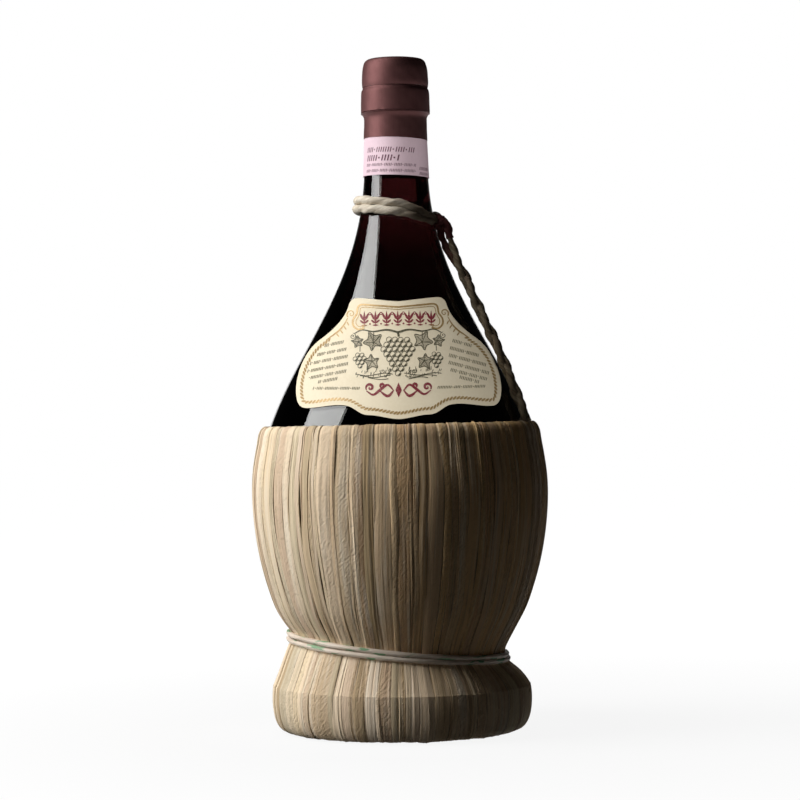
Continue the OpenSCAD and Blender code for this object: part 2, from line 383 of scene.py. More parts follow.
def straw_material():
    """Dried grass strips. grain is (across, along, seed) in millimetres; tone is (a number for the strip,
    across from -1 to 1, how brown and shaded: partly the straw's own brown, partly painted shade)."""
    s = Shader("straw", Specular_IOR_Level=0.12)
    grain = s.attribute("grain")
    tone, across, brown_and_shade = s.split(s.attribute("tone"))

    def own(factor):
        """Another number for the strip, from 0 to 1."""
        return s.math("FRACT", s.times(tone, factor))

    def by_brown_and_shade(slope, least):
        return s.math("ADD", s.times(brown_and_shade, slope), least)

    fine = s.noise(grain, 1.0, (1.7, 0.022, 9.0), roughness=0.60)
    wide = s.noise(grain, 1.0, (0.42, 0.014, 5.0), detail=2)
    crinkle = s.noise(grain, 1.0, (1.25, 0.40, 3.0), roughness=0.62, turn=38)
    crumpled = s.fade(own(7.31), 0.30, 0.60, least=0.22)
    # Painted shade, partly the straw's own brown: towards the shaded front-right the straw turns browner and
    # darker, with more dark strips and dark lines.
    color = s.mix(s.ramp(tone, STRAW_HUES), (0.84, 0.68, 0.46), brown_and_shade, "MULTIPLY")
    color = s.mix(color, (0.25, 0.16, 0.075), s.fade(own(5.17), 0.70, 0.82, amount=by_brown_and_shade(0.62, 0.24)))
    color = s.mix(color, (0.28, 0.175, 0.075), s.fade(fine, 0.44, 0.34, amount=by_brown_and_shade(0.22, 0.42)))
    color = s.mix(color, (0.96, 0.87, 0.71), s.fade(wide, 0.52, 0.68, amount=0.45))
    color = s.mix(color, (0.47, 0.38, 0.23), s.fade(wide, 0.44, 0.30, amount=0.42))
    # Painted shade in the valleys of the crinkles, on the crumpled strips.
    folds = s.fade(crinkle, 0.46, 0.36, amount=crumpled)
    color = s.mix(color, (0.40, 0.30, 0.18), s.times(folds, 0.30))
    # Dark strip edges: partly the straw's own darker edges, partly painted shade in the gaps between strips,
    # stronger on the shaded side.
    edge = s.fade(s.math("ABSOLUTE", across), 0.84, 1.0)
    bold = s.fade(own(13.7), 0.55, 0.85, least=0.16, most=0.85)
    dark_edge_and_shade = s.times(bold, by_brown_and_shade(0.9, 0.6), clamp=True)
    color = s.mix(color, (0.13, 0.075, 0.028), s.times(edge, dark_edge_and_shade))
    height = s.math("ADD", s.times(fine, 0.45), s.times(crinkle, crumpled))
    return s.finish(color, fine, (0.78, 0.55), height, 1.0, 0.72)


def inner_straw_material():
    s = Shader("inner_straw", Specular_IOR_Level=0.3)
    fibres = s.noise(s.attribute("grain"), 1.0, (2.4, 0.05, 3.0))
    color = s.ramp(fibres, [(0.3, (0.09, 0.06, 0.025)), (0.5, (0.24, 0.17, 0.08)), (0.7, (0.40, 0.30, 0.16))])
    return s.finish(color, fibres, (0.85, 0.65), fibres, 0.8, 0.4)


def twine_material(name, stops, bump=0.6, stain_and_shade=None):
    """Twisted paper or grass: grain is (round the turning section, along, seed). The share of the darker
    colour, a real stain on the rope and painted shade on the neck's twine, is tone's first number."""
    s = Shader(name, Specular_IOR_Level=0.12)
    grain = s.attribute("grain")
    fibres = s.noise(grain, 1.0, (3.0, 0.16, 4.0), detail=5, roughness=0.65)
    wide = s.noise(grain, 1.0, (0.5, 0.06, 3.0), detail=3)
    color = s.ramp(s.math("ADD", s.times(fibres, 0.6), s.times(wide, 0.4)), stops)
    if stain_and_shade:
        color = s.mix(color, stain_and_shade, s.split(s.attribute("tone"))[0])
    return s.finish(color, fibres, (0.75, 0.55), fibres, bump, 0.3)


def waist_cord_material():
    """Smooth rush cord, cream to pinkish, with a few green flecks."""
    s = Shader("waist_cord", Specular_IOR_Level=0.4)
    grain = s.attribute("grain")
    fibres = s.noise(grain, 1.0, (1.6, 0.06, 3.0))
    flecks = s.noise(grain, 1.0, (0.34, 0.075, 2.0), detail=2)
    color = s.ramp(fibres, [(0.3, (0.54, 0.43, 0.34)), (0.5, (0.72, 0.61, 0.50)), (0.72, (0.83, 0.75, 0.65))])
    color = s.mix(color, (0.16, 0.34, 0.17), s.fade(flecks, 0.575, 0.63, amount=0.9))
    return s.finish(color, fibres, (0.62, 0.45), fibres, 0.4, 0.2)


def paper_material(name, color, fibre_color):
    s = Shader(name, Specular_IOR_Level=0.3)
    fibres = s.noise(s.coords(), 900)
    clouds = s.noise(s.coords(), 60, detail=3)
    share = s.times(s.times(fibres, clouds), 1.6, clamp=True)
    return s.finish(s.mix(color, fibre_color, share), fibres, (0.62, 0.72), fibres, 0.25, 0.05)


def ink_material(name, color, worn, scale=1400, wear=(0.50, 0.72, 0, 0.6), rough=(0.50, 0.63), metallic=0.0,
                 specular=0.35):
    """Printing ink that lets a little of the paper's grain through."""
    s = Shader(name, Metallic=metallic, Specular_IOR_Level=specular)
    fibres = s.noise(s.coords(), scale, detail=3)
    return s.finish(s.mix(color, worn, s.fade(fibres, *wear)), fibres, rough)


def capsule_material():
    """Satin shrink plastic with a faint orange peel and fine upright drawing lines."""
    s = Shader("capsule", Specular_IOR_Level=0.4, Metallic=0.85)
    peel = s.noise(s.coords(), 260, detail=3)
    lines = s.noise(s.attribute("grain"), 1.0, (1.6, 0.06, 1.0), detail=3)
    tint = s.math("ADD", s.times(peel, 0.5), s.times(lines, 0.5))
    color = s.ramp(tint, [(0.35, (0.112, 0.046, 0.045)), (0.65, (0.138, 0.060, 0.058))])
    return s.finish(color, tint, (0.54, 0.62), tint, 0.18, 0.12)


def cork_material():
    s = Shader("cork", Specular_IOR_Level=0.25)
    cells = s.noise(s.coords(), 420, detail=5, roughness=0.7)
    pores = s.noise(s.coords(), 170, (1, 1, 0.45), detail=2)
    color = s.ramp(cells, [(0.3, (0.36, 0.22, 0.11)), (0.5, (0.55, 0.37, 0.20)), (0.7, (0.66, 0.48, 0.29))])
    color = s.mix(color, (0.13, 0.07, 0.035), s.fade(pores, 0.37, 0.30))
    height = s.math("MINIMUM", s.times(pores, 2.2), cells)
    return s.finish(color, cells, (0.9, 0.75), height, 0.7, 0.35)


GLASS_M = Shader("glass", Base_Color=(0.93, 0.95, 0.90), Roughness=0.0, IOR=1.5,
                 Transmission_Weight=1.0).material
WINE_M = wine_material()
STRAW_M, INNER_STRAW_M = straw_material(), inner_straw_material()
# The neck's twine: cream paper, with painted shade in dark brown towards the handle's shaded side.
TWINE_M = twine_material("twine", [
    (0.34, (0.24, 0.18, 0.11)), (0.45, (0.56, 0.48, 0.37)), (0.58, (0.80, 0.73, 0.61)),
    (0.8, (0.92, 0.88, 0.79))], bump=0.9, stain_and_shade=(0.20, 0.15, 0.10))
# The handle's rope: partly its own darker brown twine, partly painted shade, as the handle lies on the shaded
# side.
ROPE_M = twine_material("rope", [
    (0.34, (0.065, 0.042, 0.026)), (0.46, (0.16, 0.120, 0.075)), (0.60, (0.27, 0.225, 0.155)),
    (0.8, (0.38, 0.335, 0.245))], stain_and_shade=(0.12, 0.014, 0.020))
# The knot: partly its own dark red-brown twine, partly painted shade darkening it towards black.
KNOT_M = twine_material("knot_twine", [
    (0.34, (0.03, 0.008, 0.008)), (0.50, (0.075, 0.018, 0.018)), (0.70, (0.13, 0.045, 0.038)),
    (0.85, (0.20, 0.11, 0.08))])
WAIST_CORD_M = waist_cord_material()
PAPER_M = paper_material("label_paper", (0.80, 0.715, 0.54), (0.72, 0.62, 0.43))
SEAL_M = paper_material("seal_paper", (0.80, 0.61, 0.67), (0.70, 0.52, 0.58))
GOLD_M = ink_material("gold_ink", (0.34, 0.21, 0.08), (0.48, 0.33, 0.14), scale=1200, wear=(0.35, 0.65),
                      rough=(0.38, 0.52), metallic=0.3, specular=0.5)
BURGUNDY_M = ink_material("burgundy_ink", (0.20, 0.030, 0.040), (0.42, 0.20, 0.19))
INK_M = ink_material("ink", (0.065, 0.060, 0.035), (0.30, 0.27, 0.18))
FADED_INK_M = ink_material("faded_ink", (0.17, 0.15, 0.09), (0.50, 0.46, 0.34))
MAUVE_M = ink_material("mauve_ink", (0.14, 0.06, 0.085), (0.36, 0.22, 0.26))
CAPSULE_M, CORK_M = capsule_material(), cork_material()


# Handle: two plies twisted round each other, along the route of the solids

HANDLE_START = [(22.6, 231.6), (23.4, 228.4), (24.7, 224.0), (26.6, 219.6)]
ROPE_ROUTE = [(29.0, 215), (33.2, 207), (37.2, 198), (41.5, 189), (46.0, 180), (50.1, 171), (54.0, 162),
              (57.6, 153), (60.4, 146), (61.9, 141.0)]
# How far each ply lies from the rope's middle, at distances along it
PLY_FAR, PLY_APART = [0, 2.5, 5.5, 9, 13, 20], [1.9, 2.0, 1.9, 1.6, 1.35, 0.78]
PLY_R = 1.72
LAY, LAY_START = 29.0, 15.0


def in_handle_plane(out, up, side=0.0):
    c, s = cos(HANDLE_AZ), sin(HANDLE_AZ)
    return np.array([out * c - side * s, out * s + side * c, up])


def make_handle():
    route = spaced(through(HANDLE_START + ROPE_ROUTE, 8), 0.8)
    far = distances(route)
    ahead = directions(route)
    across = np.stack([-ahead[:, 1], ahead[:, 0]], 1)
    parts, tones = [], []
    for ply, (thin, stained) in enumerate(((0.42, 34.0), (1.0, 7.0))):
        points = []
        for i in range(len(route)):
            apart = float(np.interp(far[i], PLY_FAR, PLY_APART))
            turn = TAU * max(0.0, far[i] - LAY_START) / LAY + pi * ply
            out, up = route[i] - across[i] * apart * cos(turn)
            points.append(in_handle_plane(out, up, apart * sin(turn)))

        def taper(at, whole):
            return 1 - thin * 0.45 * exp(-((at / 9.0) ** 2))

        parts.append(sweep(points, PLY_R, sides=16, up=in_handle_plane(0, 0, 1), twist=0.42,
                           lobes=((2, 0.13), (3, 0.07)), rough=0.035, seed=11 + ply, taper=taper))
        tones += [(max(0.0, 1 - g[1] / stained), 0, 0) for g in parts[-1][2]]
    rope = cord_object("handle_rope_twisted", parts, ROPE_M, tone=tones)
    place(rope, "twine", "handle_rope", "handle_strands")


make_handle()


# Glass, wine and cork

def inner_wall():
    """The inner side of the glass, from beside the middle of the bottom up into the bore."""
    belly = grown(GLASS, -WALL)[1:]
    belly = belly[belly[:, 1] < 252]
    neck = through([belly[-1], (BORE_R + 2.5, 255), (BORE_R + 1.2, 258.5), (BORE_R + 0.1, 262),
                    (BORE_R, LIP_Z - CORK_L - 3)], 6)
    return np.vstack([belly[:-1], neck])


def below_lip(line):
    """Heights are written as distances below the lip."""
    return [(r, LIP_Z - down) for r, down in line]


def make_glass():
    finish = through([(NECK_R, 254), (NECK_TOP_R + 0.25, 270)] + below_lip([
        (NECK_TOP_R, 29), (NECK_TOP_R, 26.6), (RING_R - 0.45, 23.9), (RING_R, 22), (RING_R - 0.2, 15),
        (RING_R - 0.95, 12.6), (RING_R - 0.75, 10.6), (RING_R - 0.95, 4.2), (RING_R - 1.75, 1.2),
        (RING_R - 3.05, 0)]), 5)
    bore = below_lip([(BORE_R + 0.7, 0), (BORE_R, 1)])
    line = np.vstack([GLASS, finish[1:], bore, inner_wall()[::-1], [[0, BOTTOM_Z + WALL]]])
    place(lathe("flask", line, GLASS_M, around=192, sharp_deg=50), "glass", "glass_flask")


def make_wine():
    """It runs a little into the glass, so that no air shows between them."""
    overlap, edge = 0.05, 0.6
    side = grown(inner_wall(), overlap)
    side = side[side[:, 1] < FILL_Z]
    line = np.vstack([[[0, BOTTOM_Z + WALL - overlap]], side, [[side[-1, 0] - edge, FILL_Z], [0, FILL_Z]]])
    place(lathe("red_wine", line, WINE_M, around=192, sharp_deg=50), "wine", "wine")


def make_cork():
    r, edge, base = BORE_R - CORK_CLEAR, 0.6, LIP_Z - CORK_L
    rng = random.Random(5)
    waves = [(rng.randint(3, 9), rng.uniform(0, TAU), rng.uniform(0.1, 0.5)) for _ in range(4)]

    def wobble(a, radius, z):
        return -0.03 - 0.03 * sum(sin(n * a + p + k * z) for n, p, k in waves) / 4, 0

    end = [(r * k / 6, 0) for k in range(6)] + [(r - edge, 0), (r - 0.2, 0.2)]
    line = [(x, base + z) for x, z in end] + [(r, z) for z in np.linspace(base + edge, LIP_Z - edge, 24)]
    line += [(x, LIP_Z - z) for x, z in reversed(end)]
    place(lathe("natural_cork", line, CORK_M, around=96, sharp_deg=60, wobble=wobble), "cork", "cork",
          body="stopper")


make_glass()
make_wine()
make_cork()


# Capsule and seal

# Where the sleeve's edge is cut, below the lip
SLEEVE_END = 35.1


def shrunk(a, r, z):
    """Small unevenness of shrunk plastic, with one crease at the front of the ring's step."""
    uneven = 0.035 * sin(3 * a + z * 0.2) + 0.03 * sin(7 * a - z * 0.33) + 0.02 * sin(13 * a + z)
    crease_a, crease_z = radians(245), 283.6
    away = atan2(sin(a - crease_a), cos(a - crease_a))
    crease = -0.22 * exp(-((away / 0.07) ** 2) - ((z - crease_z) / 1.2) ** 2)
    return (uneven - 0.03) * min(1.0, r / 8) + crease, 0


def shell(line, thickness):
    """A closed loop round a line and its inner side."""
    return np.vstack([line, grown(line, -thickness)[::-1]])


def make_capsule():
    top = through(below_lip([
        (RING_R - 0.15, 11.9), (RING_R + 0.05, 10.2), (RING_R, 7.4), (RING_R - 0.25, 3.8),
        (RING_R - 0.85, 1.2), (RING_R - 1.4, 0.02), (RING_R - 2.25, -0.72), (RING_R - 3.75, -0.97),
        (4, -0.98), (0, -0.98)]), 6)
    inside = grown(top, -CAPSULE_T)
    inside[-1, 0] = 0
    line = np.vstack([[[0, inside[-1, 1]]], inside[:-1][::-1], top])
    crown = lathe("capsule_crown", line, CAPSULE_M, wobble=shrunk)
    place(crown, "capsule", "capsule_top", body="capsule_cap")
    sleeve = grown(through(below_lip([
        (NECK_TOP_R + 0.2, SLEEVE_END), (NECK_TOP_R, 29), (NECK_TOP_R + 0.05, 25.9), (RING_R - 0.62, 24.2),
        (RING_R - 0.08, 23.3), (RING_R, 22.6), (RING_R - 0.2, 14.8), (RING_R - 0.75, 13),
        (RING_R - 1.0, 12.1)]), 8), 0.2 + CAPSULE_T)

    def cut_edge(a, r, z):
        """The lower edge was cut by hand: it dips on the handle's side."""
        low = max(0.0, 1 - (z - LIP_Z + SLEEVE_END) / 2.0)
        return shrunk(a, r, z)[0], -(0.9 + 0.62 * cos(a)) * min(low, 1.0)

    skirt = lathe("capsule_skirt", shell(sleeve, CAPSULE_T), CAPSULE_M, wobble=cut_edge, closed=True)
    place(skirt, "capsule", "capsule_sleeve")


SEAL_LOW = LIP_Z - 35.7 - SEAL_H
SEAL_PRINT_LIFT = (0.34, 0.42)
# Hatched rows on the seal: height of the row's middle, its height, from and to degrees, stroke, gap
SEAL_ROWS = [(11.6, 2.3, 209, 303, 1.8, 2.6), (7.8, 2.7, 209, 277, 2.6, 2.8), (4.7, 1.3, 208, 308, 1.2, 1.6),
             (2.0, 1.3, 208, 308, 1.2, 1.6), (3.5, 1.5, 315, 345, 1.4, 2.0), (1.2, 1.4, 315, 345, 1.4, 2.0)]


def neck_r(z):
    return float(np.interp(z, [250.4, 254, LIP_Z - 34.2], [NECK_R + 0.15, NECK_R, NECK_TOP_R + 0.2]))


def slanted(a, r, z):
    """The seal lies a little lower on its right side."""
    return 0, -tan(radians(SEAL_SLANT)) * r * cos(a)


def seal_stroke(start, wide, low, high, lean):
    """A stroke on the seal that leans to the right, as a thin closed plate."""
    end = start + lean
    corners = [(radians(a), SEAL_LOW + up) for a, up in (
        (start, low), (start + wide, low), (end + wide, high), (end, high))]
    verts = []
    for lift in SEAL_PRINT_LIFT:
        for a, z in corners:
            r = neck_r(z) + lift
            verts.append(turned(r, a, z + slanted(a, r, z)[1]))
    return verts, [(3, 2, 1, 0), (4, 5, 6, 7)] + [(j, (j + 1) % 4, 4 + (j + 1) % 4, 4 + j) for j in range(4)]


def make_seal():
    heights = SEAL_LOW + np.linspace(0, SEAL_H, 11)
    line = [(neck_r(z) + 0.38, z) for z in heights] + [(neck_r(z) + 0.15, z) for z in heights[::-1]]
    paper = lathe("paper_seal", line, SEAL_M, sharp_deg=40, wobble=slanted, closed=True)
    place(paper, "seal_paper", "neck_seal")
    rng = random.Random(31)
    parts = []
    for up, height, a, end, stroke, gap in SEAL_ROWS:
        while a < end:
            for _ in range(rng.randint(4, 8)):
                if a > end:
                    break
                parts.append(seal_stroke(a, stroke, up - height / 2, up + height / 2, height * 0.9))
                a += stroke + gap
            if a < end:
                dot = height * 0.14
                parts.append(seal_stroke(a + gap * 0.4, stroke * 1.2, up - dot, up + dot, 0.0))
            a += stroke + 1.6 * gap
    verts, faces, _ = joined(parts)
    place(mesh_object("seal_print", verts, faces, MAUVE_M, smooth=False), "seal_paper")


make_capsule()
make_seal()


# Label: flat shapes laid on the glass. A flat shape is its points, [x, height], and its faces.

PAPER_LIFT = (0.15, 0.34)
PRINT_LIFT = (0.30, 0.42)


def on_glass(x, z, lift):
    r = glass_r(z) + lift * 1.1
    return (x, -sqrt(max(r * r - x * x, 1.0)), z)


def emboss(flat, faces, lift):
    """A closed thin plate on the glass from flat points and faces."""
    n = len(flat)
    verts = [on_glass(x, z, lift[1]) for x, z in flat] + [on_glass(x, z, lift[0]) for x, z in flat]
    edges = {(a, b) for f in faces for a, b in zip(f, f[1:] + f[:1])}
    walls = [(b, a, a + n, b + n) for a, b in sorted(edges) if (b, a) not in edges]
    return verts, list(faces) + [tuple(i + n for i in reversed(f)) for f in faces] + walls


def facing(flat, faces):
    """The faces turned so that all face the viewer."""
    out = []
    for f in faces:
        area = sum(flat[a][0] * flat[b][1] - flat[b][0] * flat[a][1] for a, b in zip(f, f[1:] + f[:1]))
        out.append(tuple(f) if area > 0 else tuple(reversed(f)))
    return out


def ribbon(points, width, step=0.6):
    """A printed line. width is a number or a function of the share of its length."""
    p = spaced(points, step)
    d = directions(p)
    side = np.stack([-d[:, 1], d[:, 0]], 1)
    flat = []
    for i in range(len(p)):
        w = width(i / (len(p) - 1)) if callable(width) else width
        flat += [tuple(p[i] - side[i] * w / 2), tuple(p[i] + side[i] * w / 2)]
    return flat, facing(flat, [(i, i + 2, i + 3, i + 1) for i in range(0, len(flat) - 2, 2)])


def blob(outline):
    """A filled shape round its middle."""
    flat = [tuple(p) for p in outline] + [tuple(np.mean(np.array(outline), axis=0))]
    n = len(outline)
    return flat, facing(flat, [(i, (i + 1) % n, n) for i in range(n)])


def ellipse(x, z, rx, rz, turn=0.0, n=14):
    c, s = cos(radians(turn)), sin(radians(turn))
    return [(x + rx * cos(a) * c - rz * sin(a) * s, z + rx * cos(a) * s + rz * sin(a) * c)
            for a in np.linspace(0, TAU, n, endpoint=False)]


def arc(x, z, r, start, end, n):
    return [(x + r * cos(a), z + r * sin(a)) for a in np.linspace(start, end, n)]


def ring(x, z, r, width):
    return ribbon(arc(x, z, r, 0, TAU, 21), width, step=r * 0.3)


def lozenge(x, z, w, h):
    return blob([(x - w / 2, z), (x, z - h / 2), (x + w / 2, z), (x, z + h / 2)])


def spiral(x, z, size, turns, start, way=1):
    return [(x + size * (1 - t) * cos(start + way * TAU * turns * t),
             z + size * (1 - t) * sin(start + way * TAU * turns * t)) for t in np.linspace(0, 0.93, 26)]


def mirrored(line):
    return [(-x, z) for x, z in line]


def both_sides(lines):
    return [side for line in lines for side in (line, mirrored(line))]


def ribbons(lines, width, steps=0):
    """Printed lines on both halves of the label, smoothed where steps are given."""
    return [ribbon(through(line, steps) if steps else line, width) for line in both_sides(lines)]


def swelling(least, more):
    """A width that is least at the ends of a line and swells in its middle."""
    return lambda t: least + more * sin(pi * t)


def printed(name, shapes, material):
    verts, faces, _ = joined([emboss(flat, faces, PRINT_LIFT) for flat, faces in shapes])
    place(mesh_object(name, verts, faces, material, smooth=False), "label_paper")


# The right half of the label's edge: each curve has two handles, an end and a number of steps
LABEL_CURVES = [
    ((6, 195.9), (12, 197.0), (17.7, 197.5), 10), ((19.6, 197.6), (21.3, 196.9), (21.9, 194.8), 6),
    ((23.5, 188), (30, 182.5), (36.5, 178.3), 14), ((42, 174), (46, 166), (46.2, 157.3), 12),
    ((46.3, 151), (44.5, 148.2), (41.1, 148.2), 8), ((35, 148), (28, 150.4), (22, 148.7), 10),
    ((19, 147.6), (17, 144.7), (13.5, 144.7), 6), ((9, 144.7), (4, 142.8), (0, 142.8), 8)]
LABEL_RIGHT = np.array([(0, 195.5)])
for *curve, steps in LABEL_CURVES:
    LABEL_RIGHT = np.vstack([LABEL_RIGHT, bezier([LABEL_RIGHT[-1], *curve], steps)[1:]])


def make_label():
    """The label's outline is cut into 2 mm squares, so that it bends with the glass."""
    outline = [tuple(p) for p in LABEL_RIGHT] + mirrored(LABEL_RIGHT[1:-1][::-1])
    mesh = bmesh.new()
    mesh.faces.new([mesh.verts.new((x, 0, z)) for x, z in outline])
    cuts = [((2.0 * k, 0, 0), (1, 0, 0)) for k in range(-23, 24)]
    cuts += [((0, 0, 143 + 2.0 * k), (0, 0, 1)) for k in range(28)]
    for middle, normal in cuts:
        everything = mesh.verts[:] + mesh.edges[:] + mesh.faces[:]
        bmesh.ops.bisect_plane(mesh, geom=everything, plane_co=middle, plane_no=normal)
    bmesh.ops.remove_doubles(mesh, verts=mesh.verts, dist=1e-4)
    mesh.verts.index_update()
    flat = [(v.co.x, v.co.z) for v in mesh.verts]
    faces = facing(flat, [tuple(v.index for v in f.verts) for f in mesh.faces])
    mesh.free()
    verts, faces = emboss(flat, faces, PAPER_LIFT)
    place(mesh_object("paper_label", verts, faces, PAPER_M, sharp_deg=40), "label_paper", "front_label")


def print_border():
    """A rope-like line a little inside the edge: strokes that lean like the lay of a rope."""
    inset, shoulder, pitch, lean = 2.6, 0.33, 1.62, 38
    inner = grown(spaced(LABEL_RIGHT, 0.5), inset)
    right = spaced(inner[int(shoulder * len(inner)) :], pitch)
    shapes = []
    for stretch, count in ((right, len(right)), (right * [-1, 1], len(right) - 1)):
        d = directions(stretch)
        for i in range(count):
            turn = degrees(atan2(d[i][1], d[i][0])) + lean
            shapes.append(blob(ellipse(*stretch[i], 1.12, 0.46, turn, 12)))
    printed("print_border", shapes, GOLD_M)


TITLE_FRAME = [(0, 192.9), (11, 193.9), (16.0, 194.4), (17.8, 193.4), (18.4, 190.2), (20.0, 187.8),
               (20.0, 185.0), (17.9, 183.1), (15.4, 183.4)]
TITLE_FINE = [(0, 191.8), (11, 192.8), (15.4, 193.2), (16.8, 192.4), (17.3, 189.8), (18.7, 187.2),
              (18.6, 185.4), (17.2, 184.3), (15.8, 184.5)]
SHOULDER_SCROLL = [(22.5, 188.6), (24.3, 185.3), (26.8, 182.6), (29.8, 180.5), (32.2, 178.9)]
SHOULDER_TICKS = [(22.4, 185.9, 62), (23.7, 184.0, 58), (25.3, 182.3, 54), (27.1, 180.8, 50)]


def print_scrolls():
    """A bracket round the title's place, open below, and a scroll on each shoulder of the label."""
    shapes = ribbons([TITLE_FRAME], 0.80, 6) + ribbons([TITLE_FINE], 0.34, 6)
    shapes += ribbons([spiral(21.0, 190.3, 2.0, 1.5, -0.7), spiral(14.9, 184.4, 1.0, 1.0, -1.4)],
                      lambda t: 0.62 * (1 - 0.5 * t))
    shapes += ribbons([SHOULDER_SCROLL], swelling(0.30, 0.45), 6)
    ticks = [ellipse(x, z, 1.05, 0.30, turn) for x, z, turn in SHOULDER_TICKS]
    shapes += [blob(line) for line in both_sides(ticks)]
    printed("print_scrolls", shapes, GOLD_M)


def palmette(x, z):
    """A stem with two pairs of leaves on a foot."""
    shapes = [lozenge(x, z + 0.3, 1.25, 6.6), lozenge(x, z - 3.0, 2.9, 0.9)]
    for sign in (-1, 1):
        shapes.append(blob(ellipse(x + sign * 1.20, z + 1.0, 0.50, 1.60, -sign * 24)))
        shapes.append(blob(ellipse(x + sign * 1.05, z - 1.3, 0.42, 1.15, -sign * 48)))
    return shapes


def print_title():
    """A band of palmettes, with a ring and a dot between each two."""
    pitch, z = 5.0, 187.8
    shapes = []
    for k in range(-3, 4):
        shapes += palmette(pitch * k, z)
        if k < 3:
            between = pitch * (k + 0.5)
            shapes += [ring(between, z + 2.3, 0.55, 0.36), blob(ellipse(between, z - 2.4, 0.42, 0.42, n=10))]
    printed("print_title_band", shapes, BURGUNDY_M)


LEAF_TIPS = [(90, 1.0), (122, 0.55), (158, 0.86), (196, 0.45), (232, 0.70), (270, 0.30), (308, 0.70),
             (344, 0.45), (22, 0.86), (58, 0.55)]


def hatched(outline, gap, width, turn):
    """Engraver's lines that fill an outline."""
    c, s = cos(radians(turn)), sin(radians(turn))
    p = np.array(outline) @ np.array([[c, -s], [s, c]])
    shapes = []
    for level in np.arange(p[:, 1].min() + gap / 2, p[:, 1].max(), gap):
        cuts = []
        for a, b in zip(p, np.roll(p, -1, axis=0)):
            if (a[1] - level) * (b[1] - level) < 0:
                cuts.append(a[0] + (b[0] - a[0]) * (level - a[1]) / (b[1] - a[1]))
        cuts.sort()
        for left, right in zip(cuts[::2], cuts[1::2]):
            if right - left > 0.35:
                ends = np.array([[left + 0.1, level], [right - 0.1, level]]) @ np.array([[c, s], [-s, c]])
                shapes.append(ribbon([tuple(e) for e in ends], width, step=1.2))
    return shapes


def leaf(x, z, size, turn):
    """A five-lobed leaf: outline, veins, and engraver's lines over it."""
    def tip(angle, r):
        a = radians(angle + turn)
        return x + size * r * cos(a), z + size * r * sin(a)

    outline = through([tip(a, r) for a, r in LEAF_TIPS + LEAF_TIPS[:1]], 3)
    shapes = [ribbon(outline, 0.34, step=0.35)] + hatched(outline[:-1], 0.52, 0.20, turn + 25)
    return shapes + [ribbon([(x, z), tip(a, 0.8 * r)], 0.26) for a, r in LEAF_TIPS if r > 0.6]


def bunch(x, z, counts, r, rng):
    """Grapes in rows, each a ring with a shaded side."""
    shapes = []
    for row, count in enumerate(counts):
        for k in range(count):
            cx = x + (k - (count - 1) / 2) * 2.12 * r + rng.uniform(-0.12, 0.12) * r
            cz = z - row * 1.78 * r + rng.uniform(-0.12, 0.12) * r
            shapes.append(ring(cx, cz, r, 0.26))
            shapes.append(ribbon(arc(cx, cz, 0.62 * r, -2.2, 0.5, 7), swelling(0.12, 0.42 * r), step=0.25))
    return shapes


def print_vignette():
    """A bunch of grapes among vine leaves under a branch, with a little ground below."""
    rng = random.Random(8)
    shapes = bunch(0, 178.0, (4, 5, 6, 5, 4, 3, 2, 1), 1.22, rng)
    for sign in (-1, 1):
        shapes += bunch(sign * 17.0, 171.4, (2, 3, 2, 1), 0.95, rng)
        for x, z, size, turn in ((10.8, 177.0, 5.6, -24), (11.6, 168.6, 4.6, -150), (17.6, 177.4, 3.4, -80)):
            shapes += leaf(sign * x, z, size, turn * sign)
    branch = [(0, 181.4), (5, 182.6), (11, 181.9), (16, 182.8), (19.6, 181.2)]
    shapes += ribbons([branch], lambda t: 1 - 0.6 * t, 6)
    shapes.append(ribbon([(0, 181.6), (0.3, 179.4)], 0.9))
    shapes += ribbons([spiral(20.2, 180.0, 1.5, 1.8, 1.6), spiral(7.0, 164.0, 1.2, 1.6, 0.4, -1),
                       [(16.9, 176), (17.0, 173)], [(10.8, 181.8), (10.8, 178)]], 0.30)
    for k, width in enumerate((19, 17, 13)):
        for sign in (-1, 1):
            hill = [(sign * x, 162.6 - 0.9 * k + 0.5 * sin(x * 0.42 + k * 1.3 + sign))
                    for x in np.linspace(2.5 + k, width, 18)]
            shapes.append(ribbon(hill, 0.36))
    for _ in range(70):
        x = rng.uniform(3, 19) * rng.choice((-1, 1))
        z = rng.uniform(160.8, 164.6)
        shapes.append(ribbon([(x, z), (x + rng.uniform(-0.3, 0.7), z + rng.uniform(0.7, 1.5))], 0.26))
    printed("print_vignette", shapes, INK_M)


def print_foot():
    """A scrolled flourish at the label's foot."""
    lines = [[(2.2, 155.4), (4.8, 157.9), (8.0, 155.8), (11.2, 153.6), (14.2, 155.4)],
             spiral(12.6, 156.8, 1.9, 1.4, -0.6), [(2.2, 155.4), (4.8, 152.9), (8.2, 155.2)],
             spiral(7.0, 157.6, 1.2, 1.1, -1.0)]
    shapes = [lozenge(0, 155.6, 2.8, 6.6)] + ribbons(lines, swelling(0.45, 0.75), 5)
    printed("print_flourish", shapes, BURGUNDY_M)


# Hatched rows at both sides: from and to x, height of the middle
SMALL_ROWS = [(24.6, 33.0, 177.6), (23.4, 36.6, 174.3), (22.8, 39.6, 171.0), (22.6, 40.8, 167.7),
              (23.4, 40.0, 164.4), (27.4, 35.6, 161.1)]


